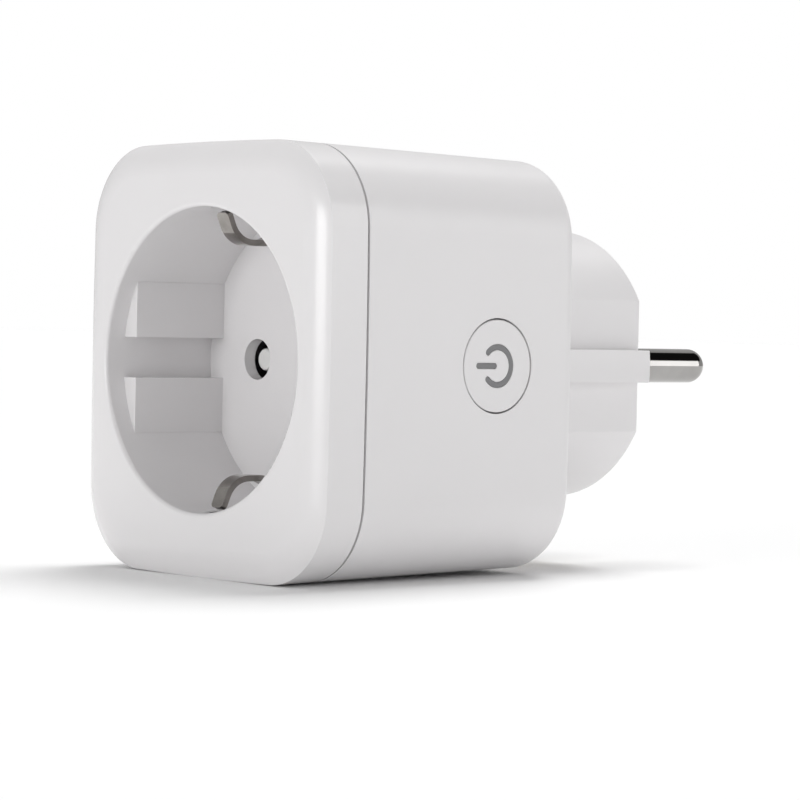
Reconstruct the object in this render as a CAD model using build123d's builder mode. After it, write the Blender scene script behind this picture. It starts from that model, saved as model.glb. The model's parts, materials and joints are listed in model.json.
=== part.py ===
from build123d import *
import os
from math import asin, cos, sin

# Smart plug: a type F mains plug, a switched type F socket and a Wi-Fi controller in one housing.
# Frame: the origin is the centre of the plug's end face, midway between its two pins. +Y runs along
# the pins into the wall, the socket faces -Y, +Z is up and the push button is on the +X side.

# ---- Housing -------------------------------------------------------------------------------------
front_y = -64.3            # front face of the cover
joint_y = -56.9            # seam between the front cover and the rear housing
back_y = -20.0             # back face of the rear housing
half_width = 24.4          # at the seam
half_height = 27.8
back_half_width = 23.9     # the housing tapers slightly towards the wall
back_half_height = 27.3
corner_radius = 11.0
side_crown = 0.4           # how far the middle of each side stands out
brow_width = 3.9           # soft round between the front face and the sides
brow_depth = 1.4
seam_gap = 0.19            # half of the shadow gap at the seam
wall = 2.2
face_wall = 2.3
back_wall = 2.4
lip_length = 3.2           # the cover's lip inside the rear housing
lip_clearance = 0.1
lip_thickness = 1.2
back_round = 1.8
hook_x = 11.0              # snap hooks of the cover's lip
hook_half = 2.5
hook_length = 1.0
hook_reach = 0.25
post_x = 15.5              # posts that carry the main board
post_z = 22.0
post_radius = 2.4
screw_radius = 0.95
past = 1.0                 # how far a cut runs past a face

# ---- Socket recess -------------------------------------------------------------------------------
recess_radius = 19.6
recess_floor_y = -46.7
recess_floor = 1.8
cup_radius = 21.5
rim_round = 0.5
rib_chord = 16.8           # guide ribs reach in to this distance from the middle plane
rib_low = 2.7
rib_high = 10.0
rib_front_y = -61.4
pin_pitch = 9.5            # half of the 19 mm between the two poles
pin_hole_radius = 2.74
clip_slot_half = 1.4
clip_slot_front_y = -61.7
clip_slot_z = (18.0, 22.5)  # slot in the wall, and its run on through the floor
floor_slot_z = (17.0, 19.8)
stop_radius = 2.6          # stop behind the floor that keeps the shutter on its pivot
stop_gap = 0.25

# ---- Plug ----------------------------------------------------------------------------------------
boss_radius = 18.7
boss_flat = 16.4
boss_rib = 4.4
boss_round = 0.5
flange_front_y = -24.0
core_radius = 14.4
core_end_y = -2.5          # end wall of the hollow boss
column_radius = 4.4        # column round each pin
web_half = 0.8
pin_radius = 2.4
pin_length = 19.4
pin_core_radius = 2.0      # the part of a pin that is held in the base
pin_fit = 0.01             # hole round the held part of a pin
pin_head_radius = 3.4
pin_head = 1.2
pin_tail_radius = 1.0
pin_tail_y = -27.2
earth_recess_half = 3.2
earth_recess_z = 16.4
earth_recess_y = -17.0

# ---- Earth parts ---------------------------------------------------------------------------------
strip_half = 2.0
strip_thickness = 0.8
strip_z = 16.5             # inner face of the upper strip
strip_front_y = -43.8
strip_back_y = -1.0
bridge_y = -24.3
clip_half = 1.15
clip_thickness = 0.8
clip_round = 0.6           # corners of the tip
rivet_radius = 0.7
rivet_y = -28.6
lug_front_y = -30.2

# ---- Boards --------------------------------------------------------------------------------------
board_back_y = -25.2
board_thickness = 1.6
board_y = board_back_y - board_thickness
board_margin = 0.35        # between the board's edge and the housing
wifi_x = 16.0
wifi_thickness = 1.0
header_x = 18.1            # pin header between the two boards
header_pins = (-11.3, -8.8, -6.3)
fuse_x = -7.6
fuse_z = -21.4
fuse_lead = 5.0
varistor_z = 12.4
varistor_leads = (6.4, 11.2)
shunt_legs = (-20.0, -16.5)
shunt_leg = 0.8
shunt_z = 4.65
shunt_width = 2.7
lead_hole_radius = 0.45
lead_holes = [(header_x, z) for z in header_pins]
lead_holes += [(x, varistor_z) for x in varistor_leads]
lead_holes += [(fuse_x - fuse_lead, fuse_z), (fuse_x + fuse_lead, fuse_z)]

# ---- Contacts and shutter ------------------------------------------------------------------------
carrier_front_y = -40.4
carrier_back_y = -27.6
carrier_half_width = 14.8
carrier_half_height = 6.8
pivot_radius = 1.5
shutter_back_y = -41.7
shutter_thickness = 1.2
shutter_wing = 3.0
pip_radius = 1.5
pip_x = 10.4               # the pips sit a little outward of the pin holes
pip_front_y = -44.7
pip_round = 0.35

# ---- Button --------------------------------------------------------------------------------------
button_y = -34.4
button_radius = 5.95
button_gap = 0.21
button_round = 0.15
flange_radius = 7.0
flange_gap = 0.3
collar_x = 20.4            # collar inside the housing that guides the flange
collar_wall = 1.4
collar_depth = 2.4
symbol_radius = 2.43
symbol_stroke = 0.83
symbol_depth = 0.3
symbol_gap = 0.07          # between the inlay and its groove
tact_size = 6.0
tact_height = 2.9
plunger_radius = 1.75
plunger_height = 0.7

os.makedirs("parts", exist_ok=True)


def across(y):
    """Plane square to the plug's axis at depth y: normal to the front (-Y), local x = X, local y = Z."""
    return Plane.XZ.offset(-y)


def block(x0, x1, y0, y1, z0, z1, mode=Mode.ADD):
    """Rectangular block between two opposite corners."""
    with Locations(((x0 + x1) / 2, (y0 + y1) / 2, (z0 + z1) / 2)):
        return Box(x1 - x0, y1 - y0, z1 - z0, mode=mode)


def twin_blocks(half_x, y0, y1, z_in, z_out, mode=Mode.ADD, x=0.0):
    """Two blocks centred on x, one above the middle plane and its mirror image below it."""
    block(x - half_x, x + half_x, y0, y1, z_in, z_out, mode)
    block(x - half_x, x + half_x, y0, y1, -z_out, -z_in, mode)


def rod(x, z, radius, y0, y1, mode=Mode.ADD):
    """Round bar along Y."""
    with Locations(Location((x, (y0 + y1) / 2, z), (90, 0, 0))):
        return Cylinder(radius, y1 - y0, mode=mode)


def housing_outline(y, inset=0.0):
    """Outline of the housing at depth y, moved in by inset: four crowned sides and round corners."""
    share = (y - joint_y) / (back_y - joint_y)
    half_w = half_width + share * (back_half_width - half_width) - inset
    half_h = half_height + share * (back_half_height - half_height) - inset
    corner_x = half_w - side_crown
    corner_z = half_h - side_crown
    with BuildSketch(across(y)) as outline:
        with BuildLine():
            ThreePointArc((corner_x, -corner_z), (half_w, 0), (corner_x, corner_z))
            ThreePointArc((corner_x, corner_z), (0, half_h), (-corner_x, corner_z))
            ThreePointArc((-corner_x, corner_z), (-half_w, 0), (-corner_x, -corner_z))
            ThreePointArc((-corner_x, -corner_z), (0, -half_h), (corner_x, -corner_z))
        make_face()
        fillet(outline.vertices(), corner_radius - inset)
    return outline.sketch


def brow_outlines(steps=4):
    """Outlines from the front face to the sides, along a round that ends in a faint crease."""
    radius = (brow_width**2 + brow_depth**2) / (2 * brow_depth)
    sweep_angle = asin(brow_width / radius)
    outlines = []
    for step in range(steps + 1):
        angle = sweep_angle * step / steps
        y = front_y + radius * (1 - cos(angle))
        outlines.append(housing_outline(y, brow_width - radius * sin(angle)))
    return outlines


def boss_outline(y, grow=0.0):
    """Round plug boss with a flat on each side and a guide rib down the middle of each flat."""
    with BuildSketch(across(y)) as outline:
        Circle(boss_radius + grow)
        Rectangle(2 * (boss_flat + grow), 3 * boss_radius, mode=Mode.INTERSECT)
        with BuildSketch(across(y), mode=Mode.PRIVATE) as ribs:
            Circle(boss_radius + grow)
            Rectangle(3 * boss_radius, boss_rib + 2 * grow, mode=Mode.INTERSECT)
        add(ribs.sketch)
    return outline.sketch


def power_symbol(plane, grow=0.0):
    """Open ring and bar, the bar pointing to the front of the plug."""
    stroke = symbol_stroke + 2 * grow
    mouth = 4.0
    bar_start = -3.8
    bar_end = -0.1
    end_xy = symbol_radius / 2**0.5
    with BuildSketch(plane) as mark:
        Circle(symbol_radius + stroke / 2)
        Circle(symbol_radius - stroke / 2, mode=Mode.SUBTRACT)
        with BuildLine():
            Polyline((0, 0), (-mouth, mouth), (-mouth, -mouth), close=True)
        make_face(mode=Mode.SUBTRACT)
        with Locations((-end_xy, end_xy), (-end_xy, -end_xy)):
            Circle(stroke / 2)
        with Locations(((bar_start + bar_end) / 2, 0)):
            SlotOverall(bar_end - bar_start + 2 * grow, stroke)
    return mark.sketch


# ---- Front cover: face, lip, socket cup, guide ribs and snap hooks -------------------------------
cover_end_y = joint_y - seam_gap
brow_end_y = front_y + brow_depth
lip_inset = wall + lip_clearance
cup_back_y = recess_floor_y + recess_floor
hook_front_y = joint_y + 1.4
hook_back_y = hook_front_y + hook_length
band_front_y = joint_y - 3.5
cavity_front_y = front_y + face_wall

with BuildPart() as front_cover:
    loft(brow_outlines())
    loft([housing_outline(brow_end_y), housing_outline(cover_end_y)], ruled=True)
    loft(
        [housing_outline(cavity_front_y, wall + 0.4), housing_outline(cover_end_y, wall)],
        ruled=True,
        mode=Mode.SUBTRACT,
    )
    # Lip: a band inside the cover that runs on into the rear housing.
    lip_end_y = joint_y + lip_length
    band = [housing_outline(band_front_y, wall - 0.3), housing_outline(cover_end_y, wall - 0.3)]
    loft(band, ruled=True)
    loft([housing_outline(cover_end_y, lip_inset), housing_outline(lip_end_y, lip_inset)], ruled=True)
    bore_inset = lip_inset + lip_thickness
    bore = [housing_outline(y, bore_inset) for y in (band_front_y - 0.1, lip_end_y + 0.1)]
    loft(bore, ruled=True, mode=Mode.SUBTRACT)
    hook_in = half_height - lip_inset - 0.9
    hook_out = half_height - wall + hook_reach
    for x in (-hook_x, hook_x):
        twin_blocks(hook_half, hook_front_y, hook_back_y, hook_in, hook_out, x=x)
    # Cup around the recess, its floor and the recess itself.
    rod(0, 0, cup_radius, front_y + face_wall / 2, cup_back_y)
    rod(0, 0, recess_radius, front_y - past, recess_floor_y, mode=Mode.SUBTRACT)
    rim = front_cover.edges().filter_by(GeomType.CIRCLE).filter_by_position(
        Axis.Y, front_y - 0.01, front_y + 0.01
    ).group_by(SortBy.RADIUS)[-1]
    fillet(rim, rim_round)
    # Guide ribs on both sides of the recess, a slot between the two of each side.
    for side in (-1, 1):
        with BuildSketch(across(recess_floor_y + 0.2)):
            Circle(recess_radius + 0.3)
            with Locations((side * (rib_chord + rib_high), 0)):
                Rectangle(2 * rib_high, 2 * rib_high, mode=Mode.INTERSECT)
                Rectangle(2 * rib_high + past, 2 * rib_low, mode=Mode.SUBTRACT)
        extrude(amount=recess_floor_y + 0.2 - rib_front_y)
    # Pin holes, and a slot for each earth clip through the wall and the floor.
    for x in (-pin_pitch, pin_pitch):
        rod(x, 0, pin_hole_radius, recess_floor_y - past, cup_back_y + past, mode=Mode.SUBTRACT)
    slot_end_y = cup_back_y + past
    twin_blocks(clip_slot_half, clip_slot_front_y, slot_end_y, *clip_slot_z, Mode.SUBTRACT)
    twin_blocks(clip_slot_half, recess_floor_y - past, slot_end_y, *floor_slot_z, Mode.SUBTRACT)
    # Stop behind the floor that keeps the shutter on its pivot.
    rod(0, 0, stop_radius, recess_floor_y + past, shutter_back_y - shutter_thickness - stop_gap)
front_cover.part.label = "front_cover"
export_step(front_cover.part, "parts/front_cover.step")

# ---- Rear housing: tube, back wall with the boss opening, board posts and button opening ---------
housing_front_y = joint_y + seam_gap
cavity_y = back_y - back_wall
button_hole = button_radius + button_gap
post_top_y = board_back_y

with BuildPart() as rear_housing:
    loft([housing_outline(housing_front_y), housing_outline(back_y)], ruled=True)
    fillet(rear_housing.faces().sort_by(Axis.Y)[-1].edges(), back_round)
    loft(
        [housing_outline(housing_front_y - 0.1, wall), housing_outline(cavity_y, wall)],
        ruled=True,
        mode=Mode.SUBTRACT,
    )
    extrude(boss_outline(back_y + 1, grow=0.03), amount=back_wall + 2, mode=Mode.SUBTRACT)
    for x in (-post_x, post_x):
        for z in (-post_z, post_z):
            rod(x, z, post_radius, post_top_y, cavity_y + 0.5)
            rod(x, z, screw_radius, post_top_y - past, cavity_y + 0.4, mode=Mode.SUBTRACT)
    # Notches in the tube that the hooks snap into.
    notch_in = half_height - wall - past
    notch_out = half_height - wall + 2 * hook_reach
    notch_ends = (hook_front_y - 0.15, hook_back_y + 0.15)
    for x in (-hook_x, hook_x):
        twin_blocks(hook_half + 0.2, *notch_ends, notch_in, notch_out, Mode.SUBTRACT, x=x)
    # Collar that guides the button's flange, then the opening itself.
    with BuildSketch(Plane.YZ.offset(collar_x)):
        with Locations((button_y, 0)):
            Circle(flange_radius + collar_wall)
        # The collar is cut off in front of the main board.
        with Locations((board_y - 0.4, 0)):
            Rectangle(20, 20, align=(Align.MIN, Align.CENTER), mode=Mode.SUBTRACT)
    extrude(amount=collar_depth)
    with BuildSketch(Plane.YZ.offset(collar_x - 0.4)):
        with Locations((button_y, 0)):
            Circle(flange_radius + flange_gap)
    extrude(amount=2.0, mode=Mode.SUBTRACT)
    with BuildSketch(Plane.YZ.offset(collar_x - 0.4)):
        with Locations((button_y, 0)):
            Circle(button_hole)
    extrude(amount=8, mode=Mode.SUBTRACT)
rear_housing.part.label = "rear_housing"
export_step(rear_housing.part, "parts/rear_housing.step")

# ---- Plug base: boss and inner flange with pin columns and earth recesses ------------------------
column_y = flange_front_y + 1.0
pin_seat = 0.3             # depth of the seat for a pin's full radius
strip_fit = 0.1

with BuildPart() as plug_base:
    extrude(boss_outline(0), amount=-flange_front_y)
    fillet(plug_base.faces().sort_by(Axis.Y)[-1].edges(), boss_round)
    extrude(housing_outline(cavity_y, wall + 0.3), amount=cavity_y - flange_front_y)
    rod(0, 0, core_radius, flange_front_y - past, core_end_y - 0.5, mode=Mode.SUBTRACT)
    for x in (-pin_pitch, pin_pitch):
        rod(x, 0, column_radius, column_y, core_end_y)
    block(-core_radius + 0.2, core_radius - 0.2, column_y, core_end_y, -web_half, web_half)
    for x in (-pin_pitch, pin_pitch):
        rod(x, 0, pin_core_radius + pin_fit, flange_front_y - past, past, mode=Mode.SUBTRACT)
        rod(x, 0, pin_radius, -pin_seat, past, mode=Mode.SUBTRACT)
    # Earth recess on the top and on the bottom, and a slot from each for its strip.
    recess_ends = (earth_recess_y, past)
    twin_blocks(earth_recess_half, *recess_ends, earth_recess_z, boss_radius + past, Mode.SUBTRACT)
    slot_ends = (flange_front_y - past, earth_recess_y + past)
    strip_low = strip_z - strip_fit
    strip_high = strip_z + strip_thickness + strip_fit
    twin_blocks(strip_half + strip_fit, *slot_ends, strip_low, strip_high, Mode.SUBTRACT)
    for x in (-post_x, post_x):
        for z in (-post_z, post_z):
            rod(x, z, post_radius + 0.2, flange_front_y - past, cavity_y + past, mode=Mode.SUBTRACT)
plug_base.part.label = "plug_base"
export_step(plug_base.part, "parts/plug_base.step")


# ---- Plug pins: round-nosed pins with a head behind the base and a tail into the board -----------
def plug_pin(x):
    """One pin from its round nose to the tail that is soldered to the main board."""
    rod(x, 0, pin_radius, 0, pin_length - pin_radius)
    rod(x, 0, pin_core_radius, column_y, pin_fit)
    with Locations((x, pin_length - pin_radius, 0)):
        Sphere(pin_radius)
    rod(x, 0, pin_head_radius, column_y - pin_head, column_y)
    rod(x, 0, pin_tail_radius, pin_tail_y, column_y - pin_head / 2)


with BuildPart() as line_pin:
    plug_pin(pin_pitch)
line_pin.part.label = "line_pin"
export_step(line_pin.part, "parts/line_pin.step")

with BuildPart() as neutral_pin:
    plug_pin(-pin_pitch)
neutral_pin.part.label = "neutral_pin"
export_step(neutral_pin.part, "parts/neutral_pin.step")

# ---- Earth strips, from the recesses of the plug boss to the socket's earth clips ----------------
with BuildPart() as upper_earth_strip:
    with BuildSketch(Plane.XY.offset(strip_z)):
        with Locations((0, (strip_front_y + strip_back_y) / 2)):
            RectangleRounded(2 * strip_half, strip_back_y - strip_front_y, 0.8)
        with Locations((0, rivet_y)):
            Circle(rivet_radius, mode=Mode.SUBTRACT)
    extrude(amount=strip_thickness)
upper_earth_strip.part.label = "upper_earth_strip"
export_step(upper_earth_strip.part, "parts/upper_earth_strip.step")

with BuildPart() as lower_earth_strip:
    mirror(upper_earth_strip.part, about=Plane.XY)
lower_earth_strip.part.label = "lower_earth_strip"
export_step(lower_earth_strip.part, "parts/lower_earth_strip.step")

# Bridge between the two strips behind the board, with a lug bent forward at each end.
bridge_thickness = 0.7
bridge_low_z = strip_z - bridge_thickness
with BuildPart() as earth_bridge:
    block(-strip_half, strip_half, bridge_y - bridge_thickness, bridge_y, -strip_z, strip_z)
    for side in (-1, 1):
        low, high = sorted((side * bridge_low_z, side * strip_z))
        block(-strip_half, strip_half, lug_front_y, bridge_y, low, high)
    with Locations((0, rivet_y, 0)):
        Cylinder(rivet_radius, 3 * strip_z, mode=Mode.SUBTRACT)
earth_bridge.part.label = "earth_bridge"
export_step(earth_bridge.part, "parts/earth_bridge.step")

# One rivet at each end of the bridge.
rivet_head_radius = 1.2
rivet_head = 0.4
with BuildPart() as earth_rivets:
    for side in (-1, 1):
        inner_z = side * (bridge_low_z - rivet_head / 2)
        outer_z = side * (strip_z + strip_thickness + rivet_head / 2)
        shank = bridge_thickness + strip_thickness
        with Locations((0, rivet_y, inner_z), (0, rivet_y, outer_z)):
            Cylinder(rivet_head_radius, rivet_head)
        with Locations((0, rivet_y, side * (bridge_low_z + shank / 2))):
            Cylinder(rivet_radius, shank)
earth_rivets.part.label = "earth_rivets"
export_step(earth_rivets.part, "parts/earth_rivets.step")

# ---- Socket earth clips: leaf springs that bulge into the recess, their tips in the wall slots ---
clip_path = [(-38.6, 17.6), (-47.2, 17.6), (-54.0, 14.8), (-59.1, 14.8), (-60.8, 18.9)]
clip_bends = [1.6, 3.0, 4.0]
with BuildPart() as upper_earth_clip:
    with BuildSketch(Plane.YZ):
        with BuildLine():
            leaf = FilletPolyline(*clip_path, radius=clip_bends)
            offset(leaf, amount=clip_thickness, side=Side.RIGHT)
        make_face()
    extrude(amount=clip_half, both=True)
    tip = upper_earth_clip.faces().filter_by(GeomType.PLANE).sort_by(Axis.Z)[-1]
    fillet(tip.edges().filter_by(Axis.X, reverse=True), clip_round)
upper_earth_clip.part.label = "upper_earth_clip"
export_step(upper_earth_clip.part, "parts/upper_earth_clip.step")

with BuildPart() as lower_earth_clip:
    mirror(upper_earth_clip.part, about=Plane.XY)
lower_earth_clip.part.label = "lower_earth_clip"
export_step(lower_earth_clip.part, "parts/lower_earth_clip.step")

# ---- Contact carrier: insulating block with a chamber for each pole and the shutter's pivot ------
chamber_in = 5.2           # inner and outer walls of the chambers, from the middle plane
chamber_out = 14.1
chamber_half_z = 4.9
entry_radius = 3.3
peg_x = 3.4
peg_z = 5.4
chamber_ends = (carrier_front_y + 1.2, carrier_back_y + past)
with BuildPart() as contact_carrier:
    block(
        -carrier_half_width, carrier_half_width, carrier_front_y, carrier_back_y,
        -carrier_half_height, carrier_half_height,
    )
    fillet(contact_carrier.edges().filter_by(Axis.Y), 1.2)
    for side in (-1, 1):
        low, high = sorted((side * chamber_in, side * chamber_out))
        block(low, high, *chamber_ends, -chamber_half_z, chamber_half_z, Mode.SUBTRACT)
        entry_ends = (carrier_front_y - past, carrier_front_y + 2)
        rod(side * pin_pitch, 0, entry_radius, *entry_ends, mode=Mode.SUBTRACT)
    rod(0, 0, pivot_radius, shutter_back_y - shutter_thickness, carrier_front_y + 0.5)
    for x in (-peg_x, peg_x):
        for z in (-peg_z, peg_z):
            rod(x, z, 0.9, carrier_back_y - 0.5, board_back_y + 0.5)
contact_carrier.part.label = "contact_carrier"
export_step(contact_carrier.part, "parts/contact_carrier.step")

# ---- Pole contacts: two sprung leaves joined by a web, with a tail through the board -------------
leaf_thickness = 0.6
leaf_path = [(-38.7, 4.1), (-36.6, 2.5), (-32.6, 2.5), (-30.0, 3.4)]
web_x = 13.3


def pole_contact(side):
    """Contact for the pole at x = side * pin_pitch; its web is on the outer side."""
    leaf_in, leaf_out = sorted((side * 6.6, side * (web_x + leaf_thickness)))
    for mirrored, outer in ((1, Side.RIGHT), (-1, Side.LEFT)):
        with BuildSketch(Plane.YZ.offset(leaf_in)) as section:
            with BuildLine():
                leaf = FilletPolyline(*[(y, mirrored * z) for y, z in leaf_path], radius=0.8)
                offset(leaf, amount=leaf_thickness, side=outer)
            make_face()
        extrude(section.sketch, amount=leaf_out - leaf_in)
    low, high = sorted((side * web_x, side * (web_x + leaf_thickness)))
    block(low, high, -36.4, -30.2, -3.2, 3.2)
    block(low, high, -30.4, board_back_y + 0.6, -1.4, 1.4)


with BuildPart() as line_contact:
    pole_contact(1)
line_contact.part.label = "line_contact"
export_step(line_contact.part, "parts/line_contact.step")

with BuildPart() as neutral_contact:
    pole_contact(-1)
neutral_contact.part.label = "neutral_contact"
export_step(neutral_contact.part, "parts/neutral_contact.step")

# ---- Shutter: a two-winged rotor with a pip behind each pin hole, and its return spring ----------
with BuildPart() as shutter:
    with BuildSketch(across(shutter_back_y)):
        SlotCenterToCenter(2 * pin_pitch, 2 * shutter_wing)
        Circle(3.6)
        Circle(pivot_radius + 0.06, mode=Mode.SUBTRACT)
    extrude(amount=shutter_thickness)
    for x in (-pip_x, pip_x):
        rod(x, 0, pip_radius, pip_front_y, shutter_back_y)
    fillet(shutter.faces().group_by(Axis.Y)[0].edges(), pip_round)
shutter.part.label = "shutter"
export_step(shutter.part, "parts/shutter.step")

spring_wire = 0.16
coil = Helix(
    pitch=0.38, height=0.76, radius=2.3, center=(0, carrier_front_y - 0.25, 0), direction=(0, -1, 0)
)
with BuildPart() as shutter_spring:
    with BuildSketch(Plane(origin=coil @ 0, z_dir=coil % 0)):
        Circle(spring_wire)
    sweep(path=coil)
shutter_spring.part.label = "shutter_spring"
export_step(shutter_spring.part, "parts/shutter_spring.step")

# ---- Main board: carries the pins, contacts, relay and power supply ------------------------------
with BuildPart() as main_board:
    with BuildSketch(across(board_back_y)):
        add(housing_outline(board_back_y, wall + board_margin))
        with Locations((-pin_pitch, 0), (pin_pitch, 0)):
            Circle(pin_tail_radius + 0.1, mode=Mode.SUBTRACT)
        with GridLocations(2 * post_x, 2 * post_z, 2, 2):
            Circle(1.25, mode=Mode.SUBTRACT)
        with GridLocations(2 * peg_x, 2 * peg_z, 2, 2):
            Circle(0.95, mode=Mode.SUBTRACT)
        with GridLocations(2 * (web_x + leaf_thickness / 2), 0, 2, 1):
            Rectangle(leaf_thickness + 0.2, 3.0, mode=Mode.SUBTRACT)
        slot_low = bridge_low_z - 0.2
        slot_high = strip_z + strip_thickness + 0.2
        with GridLocations(0, slot_low + slot_high, 1, 2):
            Rectangle(2 * strip_half + 0.4, slot_high - slot_low, mode=Mode.SUBTRACT)
        with Locations(*lead_holes):
            Circle(lead_hole_radius, mode=Mode.SUBTRACT)
        with Locations(*[(x + shunt_leg / 2, shunt_z) for x in shunt_legs]):
            Rectangle(shunt_leg + 0.2, shunt_width + 0.2, mode=Mode.SUBTRACT)
    extrude(amount=board_thickness)
main_board.part.label = "main_board"
export_step(main_board.part, "parts/main_board.step")

# Solder cones where the pin tails and contact tails come through the board.
with BuildPart() as solder_joints:
    for x in (-pin_pitch, pin_pitch):
        with Locations(Location((x, board_y - 0.2, 0), (90, 0, 0))):
            Cone(2.0, 1.3, 0.4)
        rod(x, 0, pin_tail_radius, board_y - 1, board_y + 1, mode=Mode.SUBTRACT)
    for x in (-web_x - leaf_thickness / 2, web_x + leaf_thickness / 2):
        with Locations(Location((x, board_back_y + 0.25, 0), (-90, 0, 0))):
            Cone(1.9, 1.5, 0.5)
        half = leaf_thickness / 2
        block(x - half, x + half, board_back_y - 1, board_back_y + 1, -1.4, 1.4, Mode.SUBTRACT)
solder_joints.part.label = "solder_joints"
export_step(solder_joints.part, "parts/solder_joints.step")

# Self-tapping screws that hold the board on the housing's posts.
with BuildPart() as board_screws:
    for x in (-post_x, post_x):
        for z in (-post_z, post_z):
            rod(x, z, 0.95, board_y - 0.1, post_top_y + 2.2)
            rod(x, z, 1.9, board_y - 1.3, board_y)
            for turn in (0, 45, 90, 135):
                with Locations(Location((x, board_y - 1.3, z), (0, turn, 0))):
                    Box(2.2, 1.0, 0.4, mode=Mode.SUBTRACT)
board_screws.part.label = "board_screws"
export_step(board_screws.part, "parts/board_screws.step")

# ---- Relay: base, coil, cover and terminals ------------------------------------------------------
relay_x = -11.9
relay_z = 13.9
relay_length = 18.2
relay_width = 10.0
relay_height = 15.3
relay_skin = 0.7
relay_base_y = board_y - 1.6
with BuildPart() as relay_base:
    with BuildSketch(across(board_y)):
        with Locations((relay_x, relay_z)):
            RectangleRounded(relay_length - 0.1, relay_width - 0.1, 0.8)
    extrude(amount=1.6)
relay_base.part.label = "relay_base"
export_step(relay_base.part, "parts/relay_base.step")

with BuildPart() as relay_cover:
    with BuildSketch(across(relay_base_y)):
        with Locations((relay_x, relay_z)):
            RectangleRounded(relay_length, relay_width, 0.8)
    extrude(amount=relay_height - 1.6)
    fillet(relay_cover.faces().sort_by(Axis.Y)[0].edges(), 0.4)
    with BuildSketch(across(relay_base_y + 0.1)):
        with Locations((relay_x, relay_z)):
            RectangleRounded(relay_length - 2 * relay_skin, relay_width - 2 * relay_skin, 0.5)
    extrude(amount=relay_height - 1.6 - relay_skin, mode=Mode.SUBTRACT)
relay_cover.part.label = "relay_cover"
export_step(relay_cover.part, "parts/relay_cover.step")

# Coil on its bobbin, lying behind the relay's moving contacts.
with BuildPart() as relay_coil:
    for x in (relay_x - 7.4, relay_x + 1.6):
        with Locations((x, relay_base_y - 4.8, relay_z)):
            Box(0.8, 7.6, 7.6)
    with Locations(Location((relay_x - 2.9, relay_base_y - 4.8, relay_z), (0, 90, 0))):
        Cylinder(3.3, 8.6)
relay_coil.part.label = "relay_coil"
export_step(relay_coil.part, "parts/relay_coil.step")

# Fixed and moving contact springs beside the coil.
with BuildPart() as relay_contacts:
    for x in (relay_x + 4.6, relay_x + 7.0):
        block(x - 0.25, x + 0.25, relay_base_y - 10.5, relay_base_y, relay_z - 2.2, relay_z + 2.2)
        inward = 1 if x < relay_x + 6 else -1
        with Locations(Location((x + inward * 0.55, relay_base_y - 8.9, relay_z), (0, 90, 0))):
            Cylinder(1.4, 0.6)
relay_contacts.part.label = "relay_contacts"
export_step(relay_contacts.part, "parts/relay_contacts.step")

# ---- Power supply parts --------------------------------------------------------------------------
with BuildPart() as film_capacitor:
    block(2.9, 12.5, board_y - 11.0, board_y, 17.9, 23.3)
    fillet(film_capacitor.edges().filter_by(Axis.Y), 0.7)
    fillet(film_capacitor.faces().sort_by(Axis.Y)[0].edges(), 0.4)
film_capacitor.part.label = "film_capacitor"
export_step(film_capacitor.part, "parts/film_capacitor.step")

can_radius = 4.0
with BuildPart() as reservoir_capacitors:
    for x in (-15.6, -6.8):
        rod(x, -13.2, can_radius, board_y - 12.0, board_y)
    rims = reservoir_capacitors.faces().filter_by(Axis.Y).group_by(Axis.Y)[0].edges()
    fillet(rims, 0.5)
    for x in (-15.6, -6.8):
        with Locations(Location((x, board_y - 1.6, -13.2), (90, 0, 0))):
            Torus(can_radius + 0.25, 0.45, mode=Mode.SUBTRACT)
reservoir_capacitors.part.label = "reservoir_capacitors"
export_step(reservoir_capacitors.part, "parts/reservoir_capacitors.step")

with BuildPart() as varistor:
    with BuildSketch(Plane.XY.offset(varistor_z - 1.8)):
        with Locations((sum(varistor_leads) / 2, board_y - 6.6)):
            Circle(5.0)
    extrude(amount=3.6)
    fillet(varistor.edges().filter_by(GeomType.CIRCLE), 1.2)
    for x in varistor_leads:
        rod(x, varistor_z, 0.35, board_y - 4.6, board_back_y + 0.6)
varistor.part.label = "varistor"
export_step(varistor.part, "parts/varistor.step")

choke_x = 6.6
choke_z = -13.2
with BuildPart() as choke_core:
    rod(choke_x, choke_z, 4.2, board_y - 1.4, board_y)
    rod(choke_x, choke_z, 1.9, board_y - 9.0, board_y)
    rod(choke_x, choke_z, 4.2, board_y - 10.0, board_y - 8.8)
choke_core.part.label = "choke_core"
export_step(choke_core.part, "parts/choke_core.step")

with BuildPart() as choke_winding:
    with BuildSketch(across(board_y - 1.4)):
        with Locations((choke_x, choke_z)):
            Circle(3.7)
            Circle(1.9, mode=Mode.SUBTRACT)
    extrude(amount=7.4)
choke_winding.part.label = "choke_winding"
export_step(choke_winding.part, "parts/choke_winding.step")

fuse_y = board_y - 2.2
with BuildPart() as fuse_resistor:
    with Locations(Location((fuse_x, fuse_y, fuse_z), (0, 90, 0))):
        Cylinder(1.5, 7.4)
        for shift in (-2.9, 2.9):
            with Locations((0, 0, shift)):
                Cylinder(1.8, 1.6)
        Cylinder(0.3, 2 * fuse_lead + 0.6)
    for x in (fuse_x - fuse_lead, fuse_x + fuse_lead):
        rod(x, fuse_z, 0.3, fuse_y - 0.3, board_back_y + 0.5)
fuse_resistor.part.label = "fuse_resistor"
export_step(fuse_resistor.part, "parts/fuse_resistor.step")


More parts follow.
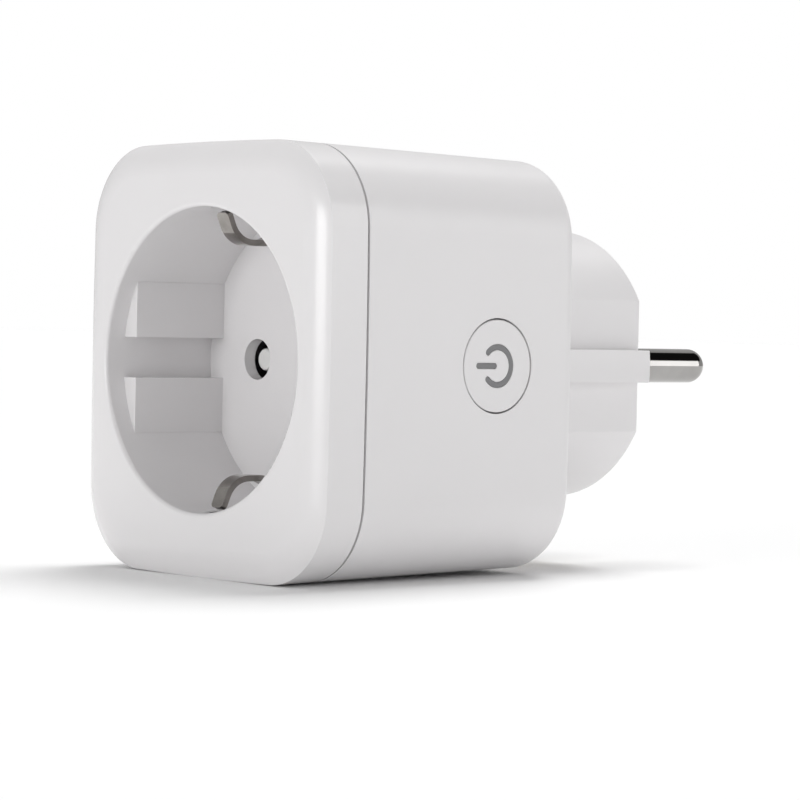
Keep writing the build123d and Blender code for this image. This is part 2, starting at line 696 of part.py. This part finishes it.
def chip(x, z, length, width, height, pins):
    """Surface-mounted chip on the front of the main board, with gull-wing leads on its two long sides."""
    block(x - length / 2, x + length / 2, board_y - height, board_y - 0.1, z - width / 2, z + width / 2)
    pitch = length / pins
    for index in range(pins):
        lead_x = x - length / 2 + pitch * (index + 0.5)
        block(lead_x - 0.2, lead_x + 0.2, board_y - 0.2, board_y, z - width / 2 - 1.0, z + width / 2 + 1.0)
        for side in (-1, 1):
            low, high = sorted((side * (width / 2 - 0.1), side * (width / 2 + 0.4)))
            block(lead_x - 0.2, lead_x + 0.2, board_y - 0.8, board_y, z + low, z + high)


with BuildPart() as rectifier:
    chip(9.4, -21.3, 4.8, 3.8, 2.3, 2)
rectifier.part.label = "rectifier"
export_step(rectifier.part, "parts/rectifier.step")

with BuildPart() as power_chip:
    chip(3.4, -21.3, 4.8, 3.8, 1.5, 4)
power_chip.part.label = "power_chip"
export_step(power_chip.part, "parts/power_chip.step")

with BuildPart() as metering_chip:
    chip(-18.6, -2.0, 4.2, 3.8, 1.5, 5)
metering_chip.part.label = "metering_chip"
export_step(metering_chip.part, "parts/metering_chip.step")

# Current shunt: a bridge of resistance alloy.
with BuildPart() as shunt_strip:
    low_z = shunt_z - shunt_width / 2
    high_z = shunt_z + shunt_width / 2
    block(shunt_legs[0], shunt_legs[1] + shunt_leg, board_y - 2.2, board_y - 1.4, low_z, high_z)
    for x in shunt_legs:
        block(x, x + shunt_leg, board_y - 2.2, board_back_y + 0.4, low_z, high_z)
shunt_strip.part.label = "shunt_strip"
export_step(shunt_strip.part, "parts/shunt_strip.step")

# ---- Wi-Fi board behind the button, with its header, module can, lamps and switch ----------------
wifi_back_y = -27.4
wifi_front_y = -42.6
wifi_half = 13.6
wifi_face_x = wifi_x + wifi_thickness
with BuildPart() as wifi_board:
    with BuildSketch(Plane.YZ.offset(wifi_x)):
        with Locations(((wifi_front_y + wifi_back_y) / 2, 0)):
            RectangleRounded(wifi_back_y - wifi_front_y, 2 * wifi_half, 1.0)
    extrude(amount=wifi_thickness)
wifi_board.part.label = "wifi_board"
export_step(wifi_board.part, "parts/wifi_board.step")

with BuildPart() as board_header:
    block(wifi_face_x, wifi_face_x + 2.2, board_y - 2.4, board_y, -12.6, -5.0)
    for z in header_pins:
        rod(header_x, z, 0.32, board_y - 0.2, board_back_y + 0.6)
board_header.part.label = "board_header"
export_step(board_header.part, "parts/board_header.step")

# Metal can over the radio module: a thin box, open towards the board.
with BuildPart() as radio_can:
    block(wifi_face_x, wifi_face_x + 2.2, -41.6, -29.6, 4.6, 13.0)
    fillet(radio_can.edges().filter_by(Axis.X), 0.5)
    fillet(radio_can.faces().sort_by(Axis.X)[-1].edges(), 0.3)
    block(wifi_face_x - 1, wifi_face_x + 2.0, -41.4, -29.8, 4.8, 12.8, Mode.SUBTRACT)
radio_can.part.label = "radio_can"
export_step(radio_can.part, "parts/radio_can.step")

with BuildPart() as radio_chip:
    block(wifi_face_x, wifi_face_x + 0.9, -38.4, -33.4, 6.3, 11.3)
radio_chip.part.label = "radio_chip"
export_step(radio_chip.part, "parts/radio_chip.step")

with BuildPart() as status_lamps:
    for y in (button_y - 4.6, button_y + 4.6):
        block(wifi_face_x, wifi_face_x + 0.7, y - 0.8, y + 0.8, -0.5, 0.5)
status_lamps.part.label = "status_lamps"
export_step(status_lamps.part, "parts/status_lamps.step")

# ---- Tact switch: case, metal cover and plunger --------------------------------------------------
half_tact = tact_size / 2
tact_top_x = wifi_face_x + tact_height
plunger_end_x = tact_top_x + plunger_height
with BuildPart() as tact_switch_case:
    block(
        wifi_face_x, tact_top_x - 0.25, button_y - half_tact, button_y + half_tact,
        -half_tact, half_tact,
    )
    with BuildSketch(Plane.YZ.offset(tact_top_x)):
        with Locations((button_y, 0)):
            Circle(plunger_radius + 0.45)
    extrude(amount=-2.6, mode=Mode.SUBTRACT)
tact_switch_case.part.label = "tact_switch_case"
export_step(tact_switch_case.part, "parts/tact_switch_case.step")

with BuildPart() as tact_switch_cover:
    block(tact_top_x - 0.25, tact_top_x, button_y - half_tact, button_y + half_tact, -half_tact, half_tact)
    for side in (-1, 1):
        low, high = sorted((button_y + side * half_tact, button_y + side * (half_tact + 0.25)))
        block(wifi_face_x, tact_top_x, low, high, -1.2, 1.2)
    with BuildSketch(Plane.YZ.offset(tact_top_x + 1)):
        with Locations((button_y, 0)):
            Circle(plunger_radius + 0.1)
    extrude(amount=-3, mode=Mode.SUBTRACT)
tact_switch_cover.part.label = "tact_switch_cover"
export_step(tact_switch_cover.part, "parts/tact_switch_cover.step")

with BuildPart() as tact_switch_plunger:
    with BuildSketch(Plane.YZ.offset(wifi_face_x + 1.4)):
        with Locations((button_y, 0)):
            Circle(plunger_radius)
    extrude(amount=plunger_end_x - wifi_face_x - 1.4)
    fillet(tact_switch_plunger.faces().sort_by(Axis.X)[-1].edges(), 0.2)
tact_switch_plunger.part.label = "tact_switch_plunger"
export_step(tact_switch_plunger.part, "parts/tact_switch_plunger.step")

# ---- Button: a cap flush with the housing, and the symbol set into it ----------------------------
cap_back_x = plunger_end_x + 0.02
flange_thickness = 0.85
flange_back_x = 21.05
with BuildPart() as button_cap:
    with BuildSketch(Plane.YZ.offset(cap_back_x)):
        with Locations((button_y, 0)):
            Circle(button_radius)
    extrude(amount=6)
    # The cap's face follows the crowned, tapered side of the housing.
    outer = [housing_outline(button_y - 15), housing_outline(button_y + 13)]
    loft(outer, ruled=True, mode=Mode.INTERSECT)
    fillet(button_cap.faces().sort_by(Axis.X)[-1].edges(), button_round)
    with BuildSketch(Plane.YZ.offset(flange_back_x)):
        with Locations((button_y, 0)):
            Circle(flange_radius)
            Circle(button_radius - 1.1, mode=Mode.SUBTRACT)
    extrude(amount=flange_thickness)
    with BuildSketch(Plane.YZ.offset(cap_back_x - 1)):
        with Locations((button_y, 0)):
            Circle(button_radius - 1.1)
            Circle(1.5, mode=Mode.SUBTRACT)
    extrude(amount=3.0, mode=Mode.SUBTRACT)
    face_x = button_cap.faces().sort_by(Axis.X)[-1].center().X
    mark_plane = Plane(origin=(face_x + 1, button_y, 0), x_dir=(0, 1, 0), z_dir=(1, 0, 0))
    extrude(power_symbol(mark_plane), amount=-1 - symbol_depth, mode=Mode.SUBTRACT)
button_cap.part.label = "button_cap"
export_step(button_cap.part, "parts/button_cap.step")

with BuildPart() as button_symbol:
    inlay_plane = Plane(origin=(face_x - symbol_depth, button_y, 0), x_dir=(0, 1, 0), z_dir=(1, 0, 0))
    extrude(power_symbol(inlay_plane, grow=-symbol_gap), amount=symbol_depth - 0.08)
button_symbol.part.label = "button_symbol"
export_step(button_symbol.part, "parts/button_symbol.step")
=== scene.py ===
import json
import math

import bpy
from mathutils import Matrix, Vector


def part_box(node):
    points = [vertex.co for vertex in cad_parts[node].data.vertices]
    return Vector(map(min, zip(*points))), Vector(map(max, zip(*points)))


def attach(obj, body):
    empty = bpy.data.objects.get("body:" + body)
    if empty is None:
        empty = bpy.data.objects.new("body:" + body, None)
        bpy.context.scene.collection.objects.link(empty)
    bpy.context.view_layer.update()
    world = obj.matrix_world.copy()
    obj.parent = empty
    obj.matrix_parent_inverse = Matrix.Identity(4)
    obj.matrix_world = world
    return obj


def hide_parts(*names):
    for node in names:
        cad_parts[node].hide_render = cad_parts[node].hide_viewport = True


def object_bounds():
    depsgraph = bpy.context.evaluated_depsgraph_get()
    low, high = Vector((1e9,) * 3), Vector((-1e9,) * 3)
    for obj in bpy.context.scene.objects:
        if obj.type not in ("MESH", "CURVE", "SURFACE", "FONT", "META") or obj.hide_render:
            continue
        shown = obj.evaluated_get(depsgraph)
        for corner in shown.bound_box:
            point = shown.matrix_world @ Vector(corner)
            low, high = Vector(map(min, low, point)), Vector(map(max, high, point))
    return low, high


MM = 0.001
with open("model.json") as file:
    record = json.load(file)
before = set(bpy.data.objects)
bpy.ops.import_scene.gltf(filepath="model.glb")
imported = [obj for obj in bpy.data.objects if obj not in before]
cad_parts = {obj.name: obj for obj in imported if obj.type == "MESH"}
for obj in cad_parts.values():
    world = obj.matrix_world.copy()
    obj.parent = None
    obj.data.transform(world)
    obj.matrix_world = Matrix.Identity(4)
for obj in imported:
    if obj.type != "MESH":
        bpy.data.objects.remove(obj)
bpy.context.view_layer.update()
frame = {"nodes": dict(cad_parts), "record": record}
nodes = frame["nodes"]

# ---- Camera: near the table's height, in front and to the right ----------------------------------
AZIMUTH = math.radians(48.07)
ELEVATION = math.radians(1.44)
ROLL = math.radians(1.20)
DISTANCE = 408.44 * MM
AIM = Vector((0.0, -25.0 * MM, 0.0))
SHIFT_RIGHT = -3.41 * MM
SHIFT_UP = -5.15 * MM
LENS = 134.9


def make_camera():
    back = Vector(
        (
            math.sin(AZIMUTH) * math.cos(ELEVATION),
            -math.cos(AZIMUTH) * math.cos(ELEVATION),
            math.sin(ELEVATION),
        )
    )
    level_right = Vector((math.cos(AZIMUTH), math.sin(AZIMUTH), 0.0))
    level_up = back.cross(level_right)
    right = math.cos(ROLL) * level_right + math.sin(ROLL) * level_up
    up = -math.sin(ROLL) * level_right + math.cos(ROLL) * level_up
    data = bpy.data.cameras.new("camera")
    data.lens = LENS
    data.sensor_width = 36.0
    data.clip_start = 0.01
    data.clip_end = 100.0
    camera = bpy.data.objects.new("camera", data)
    place = AIM + SHIFT_RIGHT * right + SHIFT_UP * up + DISTANCE * back
    turn = Matrix((right, up, back)).transposed().to_4x4()
    camera.matrix_world = Matrix.Translation(place) @ turn
    bpy.context.collection.objects.link(camera)
    bpy.context.scene.camera = camera


# ---- Material helpers ----------------------------------------------------------------------------
PLASTIC_DRIFT_CELLS = 60.0     # noise cells per metre: slow change of colour
PLASTIC_GLOSS_CELLS = 350.0
PLASTIC_SKIN_CELLS = 2600.0
PLASTIC_IOR = 1.49
COAT_ROUGHNESS = 0.08
LIGHT_DEPTH = 0.8 * MM         # how far light travels inside the white plastic
LIGHT_DEPTH_RGB = (1.0, 0.95, 0.9)
METAL_TONE_CELLS = 240.0
METAL_LINE_CELLS = 900.0
RAMP_ENDS = (0.3, 0.7)         # part of the noise's range that the colours spread over


def new_material(name):
    """An empty node material with its Principled shader; returns (material, tree, shader)."""
    material = bpy.data.materials.new(name)
    material.use_nodes = True
    tree = material.node_tree
    shader = tree.nodes["Principled BSDF"]
    return material, tree, shader


def object_noise(tree, scale, detail=3.0, roughness=0.5, stretch=(1.0, 1.0, 1.0)):
    """Noise over the object's own coordinates; scale is in cells per metre."""
    place = tree.nodes.new("ShaderNodeTexCoord")
    mapping = tree.nodes.new("ShaderNodeMapping")
    mapping.inputs["Scale"].default_value = stretch
    noise = tree.nodes.new("ShaderNodeTexNoise")
    noise.inputs["Scale"].default_value = scale
    noise.inputs["Detail"].default_value = detail
    noise.inputs["Roughness"].default_value = roughness
    tree.links.new(place.outputs["Object"], mapping.inputs["Vector"])
    tree.links.new(mapping.outputs["Vector"], noise.inputs["Vector"])
    return noise.outputs["Fac"]


def remap(tree, value, low, high):
    """Spreads a 0 to 1 value between low and high."""
    node = tree.nodes.new("ShaderNodeMapRange")
    node.inputs["To Min"].default_value = low
    node.inputs["To Max"].default_value = high
    tree.links.new(value, node.inputs["Value"])
    return node.outputs["Result"]


def blend_colours(tree, value, first, second):
    """Colour that runs from first to second as value goes from 0 to 1."""
    ramp = tree.nodes.new("ShaderNodeValToRGB")
    for element, position, colour in zip(ramp.color_ramp.elements, RAMP_ENDS, (first, second)):
        element.position = position
        element.color = (*colour, 1.0)
    tree.links.new(value, ramp.inputs["Fac"])
    return ramp.outputs["Color"]


def add_bump(tree, shader, height, distance):
    """Raises the surface by up to distance, in metres, where height is 1."""
    node = tree.nodes.new("ShaderNodeBump")
    node.inputs["Distance"].default_value = distance
    tree.links.new(height, node.inputs["Height"])
    tree.links.new(node.outputs["Normal"], shader.inputs["Normal"])


def moulded_plastic(name, colour, roughness, grain=2.0e-6, shade=0.985, coat=0.0, soft=0.0):
    """Moulded plastic: slow colour drift, uneven gloss and a fine skin texture."""
    material, tree, shader = new_material(name)
    darker = tuple(c * shade for c in colour)
    drift = object_noise(tree, PLASTIC_DRIFT_CELLS, detail=2.0)
    tree.links.new(blend_colours(tree, drift, darker, colour), shader.inputs["Base Color"])
    gloss = object_noise(tree, PLASTIC_GLOSS_CELLS, detail=4.0)
    tree.links.new(remap(tree, gloss, *roughness), shader.inputs["Roughness"])
    skin = object_noise(tree, PLASTIC_SKIN_CELLS, roughness=0.6)
    add_bump(tree, shader, skin, grain)
    shader.inputs["IOR"].default_value = PLASTIC_IOR
    shader.inputs["Coat Weight"].default_value = coat
    shader.inputs["Coat Roughness"].default_value = COAT_ROUGHNESS
    shader.inputs["Subsurface Weight"].default_value = soft
    shader.inputs["Subsurface Radius"].default_value = LIGHT_DEPTH_RGB
    shader.inputs["Subsurface Scale"].default_value = LIGHT_DEPTH
    return material


def worked_metal(name, colour, roughness, stretch=(1.0, 1.0, 1.0), depth=1.5e-6, shade=0.86):
    """Metal with fine drawn lines: stretch below 1 along an axis draws the lines out along it."""
    material, tree, shader = new_material(name)
    shader.inputs["Metallic"].default_value = 1.0
    tone = object_noise(tree, METAL_TONE_CELLS)
    darker = tuple(c * shade for c in colour)
    tree.links.new(blend_colours(tree, tone, darker, colour), shader.inputs["Base Color"])
    lines = object_noise(tree, METAL_LINE_CELLS, detail=5.0, roughness=0.65, stretch=stretch)
    tree.links.new(remap(tree, lines, *roughness), shader.inputs["Roughness"])
    add_bump(tree, shader, lines, depth)
    return material


# ---- Materials, one for each of the record's slots -----------------------------------------------
WHITE = (0.785, 0.772, 0.778)
FINE_LINES = 6.0e-7            # depth of the drawn lines on the nickel, in metres
ALONG_X = (0.1, 1.0, 1.0)
ALONG_Y = (1.0, 0.1, 1.0)


def make_materials():
    """Returns a material for each slot, by the slot's name."""
    made = {}
    white_plastics = {
        "cover_plastic": ((0.20, 0.26), 0.05),
        "housing_plastic": ((0.26, 0.33), 0.0),
        "base_plastic": ((0.28, 0.36), 0.0),
        "button_plastic": ((0.26, 0.32), 0.0),
    }
    for slot, (roughness, coat) in white_plastics.items():
        made[slot] = moulded_plastic(slot, WHITE, roughness, coat=coat, soft=0.05)
    made["symbol_plastic"] = moulded_plastic(
        "symbol_plastic", (0.20, 0.20, 0.205), (0.35, 0.45), shade=0.85
    )
    made["shutter_plastic"] = moulded_plastic("shutter_plastic", (0.80, 0.80, 0.79), (0.3, 0.4))
    made["pin_nickel"] = worked_metal(
        "pin_nickel", (0.42, 0.41, 0.40), (0.05, 0.10), (1.0, 0.06, 1.0), FINE_LINES
    )
    made["clip_nickel"] = worked_metal(
        "clip_nickel", (0.44, 0.415, 0.39), (0.06, 0.14), (0.2, 1.0, 1.0), FINE_LINES, shade=0.55
    )
    strip_metals = {
        "earth_metal": ((0.80, 0.66, 0.38), (0.2, 0.34), ALONG_Y),
        "contact_metal": ((0.78, 0.58, 0.34), (0.2, 0.34), ALONG_Y),
        "shunt_alloy": ((0.66, 0.46, 0.32), (0.25, 0.4), ALONG_X),
    }
    for slot, (colour, roughness, stretch) in strip_metals.items():
        made[slot] = worked_metal(slot, colour, roughness, stretch)
    plastics = {
        "carrier_plastic": (0.045, 0.045, 0.05),
        "relay_plastic": (0.012, 0.012, 0.014),
        "relay_base_plastic": (0.02, 0.02, 0.02),
        "film_plastic": (0.52, 0.36, 0.03),
        "can_sleeve": (0.015, 0.018, 0.03),
        "varistor_coat": (0.02, 0.09, 0.28),
        "ferrite": (0.03, 0.03, 0.03),
        "resistor_coat": (0.08, 0.22, 0.12),
        "chip_epoxy": (0.012, 0.012, 0.012),
        "header_plastic": (0.015, 0.015, 0.015),
        "lamp_resin": (0.80, 0.76, 0.50),
        "switch_plastic": (0.015, 0.015, 0.015),
        "plunger_plastic": (0.03, 0.03, 0.03),
        "board_laminate": (0.01, 0.12, 0.045),
        "wifi_laminate": (0.01, 0.03, 0.13),
    }
    for slot, colour in plastics.items():
        made[slot] = moulded_plastic(slot, colour, (0.35, 0.5), grain=6.0e-6, shade=0.8)
    metals = {
        "rivet_metal": (0.62, 0.62, 0.62),
        "spring_steel": (0.55, 0.55, 0.56),
        "solder": (0.70, 0.71, 0.72),
        "screw_steel": (0.50, 0.50, 0.52),
        "coil_copper": (0.72, 0.28, 0.12),
        "can_metal": (0.66, 0.66, 0.64),
        "switch_metal": (0.68, 0.68, 0.68),
    }
    for slot, colour in metals.items():
        made[slot] = worked_metal(slot, colour, (0.2, 0.35))
    return made


def dress_nodes(materials):
    """Gives every CAD node the material of its slot in the record."""
    for row in frame["record"]["subparts"]:
        target = nodes[row["node"]]
        target.data.materials.clear()
        target.data.materials.append(materials[row["material_slot"]])


# ---- Choke: copper wire wound between the two cheeks of its core ---------------------------------
WIRE_RADIUS = 0.30 * MM
WIRE_LAYERS = 3
STEPS_PER_TURN = 32
WIRE_FACETS = 3                # bevel resolution of the round wire


def make_choke_wire(materials):
    """Close turns in layers, which fill the CAD winding from its outer radius down to the core."""
    low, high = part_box("choke_winding")
    centre = (low + high) / 2
    outer_radius = (high.x - low.x) / 2 - WIRE_RADIUS
    start = low.y + WIRE_RADIUS
    length = high.y - low.y - 2 * WIRE_RADIUS
    turns = int(length / (2 * WIRE_RADIUS))
    curve = bpy.data.curves.new("choke_wire", "CURVE")
    curve.dimensions = "3D"
    steps = turns * STEPS_PER_TURN
    for layer in range(WIRE_LAYERS):
        radius = outer_radius - 2 * WIRE_RADIUS * layer
        line = curve.splines.new("POLY")
        line.points.add(steps)
        for index, point in enumerate(line.points):
            angle = 2 * math.pi * index / STEPS_PER_TURN
            x = centre.x + radius * math.cos(angle)
            z = centre.z + radius * math.sin(angle)
            point.co = (x, start + length * index / steps, z, 1.0)
    curve.bevel_depth = WIRE_RADIUS
    curve.bevel_resolution = WIRE_FACETS
    curve.use_fill_caps = True
    wire = bpy.data.objects.new("choke_wire", curve)
    curve.materials.append(materials["coil_copper"])
    bpy.context.collection.objects.link(wire)
    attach(wire, "housing")
    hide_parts("choke_winding")


# ---- Floor and light -----------------------------------------------------------------------------
FLOOR_REACH = 6.0              # half of the floor's width, in metres
FLOOR_COLOUR = (0.97, 0.97, 0.97, 1.0)
ROOM_LIGHT = 0.52
CARD_LIGHT = 0.01
BACKDROP_LIGHT = 1.0
CARD_EDGE = 24.5               # half of the angle that the dark card spans, in degrees
CARD_BLUR = 1.5                # how far its edge fades to each side, in degrees
DARK_CARD = Vector((0.30, 0.67, 0.68))     # direction of a dark card that the pins mirror


def make_floor():
    """Wide flat floor at the bottom of the plug."""
    low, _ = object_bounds()
    corners = [
        (x * FLOOR_REACH, y * FLOOR_REACH, low.z) for x, y in ((-1, -1), (1, -1), (1, 1), (-1, 1))
    ]
    mesh = bpy.data.meshes.new("floor")
    mesh.from_pydata(corners, [], [(0, 1, 2, 3)])
    floor = bpy.data.objects.new("floor", mesh)
    material, _, shader = new_material("floor")
    shader.inputs["Base Color"].default_value = FLOOR_COLOUR
    shader.inputs["Roughness"].default_value = 0.9
    shader.inputs["Specular IOR Level"].default_value = 0.2
    mesh.materials.append(material)
    bpy.context.collection.objects.link(floor)


def make_room():
    """Even white room with one dark card; the camera sees a brighter backdrop instead."""
    world = bpy.data.worlds.new("studio")
    bpy.context.scene.world = world
    world.use_nodes = True
    tree = world.node_tree
    background = tree.nodes["Background"]
    place = tree.nodes.new("ShaderNodeTexCoord")
    facing = tree.nodes.new("ShaderNodeVectorMath")
    facing.operation = "DOT_PRODUCT"
    facing.inputs[1].default_value = DARK_CARD.normalized()
    tree.links.new(place.outputs["Generated"], facing.inputs[0])
    card = tree.nodes.new("ShaderNodeMapRange")
    card.interpolation_type = "SMOOTHSTEP"
    card.inputs["From Min"].default_value = math.cos(math.radians(CARD_EDGE + CARD_BLUR))
    card.inputs["From Max"].default_value = math.cos(math.radians(CARD_EDGE - CARD_BLUR))
    card.inputs["To Min"].default_value = ROOM_LIGHT
    card.inputs["To Max"].default_value = CARD_LIGHT
    tree.links.new(facing.outputs["Value"], card.inputs["Value"])
    path = tree.nodes.new("ShaderNodeLightPath")
    seen = tree.nodes.new("ShaderNodeMix")
    seen.data_type = "FLOAT"
    tree.links.new(path.outputs["Is Camera Ray"], seen.inputs["Factor"])
    tree.links.new(card.outputs["Result"], seen.inputs["A"])
    seen.inputs["B"].default_value = BACKDROP_LIGHT
    tree.links.new(seen.outputs["Result"], background.inputs["Strength"])
    background.inputs["Color"].default_value = (1.0, 1.0, 1.0, 1.0)


def soft_sun(name, source, energy, angle):
    """Broad parallel light that comes from the direction source."""
    data = bpy.data.lights.new(name, "SUN")
    data.energy = energy
    data.angle = math.radians(angle)
    lamp = bpy.data.objects.new(name, data)
    lamp.rotation_euler = Vector(source).to_track_quat("Z", "Y").to_euler()
    bpy.context.collection.objects.link(lamp)


def make_light():
    make_room()
    soft_sun("overhead", (-0.12, 0.4, 1.0), 1.86, 32.0)
    soft_sun("front_fill", (0.06, -1.0, 0.03), 1.24, 26.0)
    soft_sun("side_fill", (0.71, 0.67, 0.2), 0.38, 30.0)


bpy.context.scene.view_settings.view_transform = "Standard"
make_camera()
materials = make_materials()
dress_nodes(materials)
make_choke_wire(materials)
make_floor()
make_light()
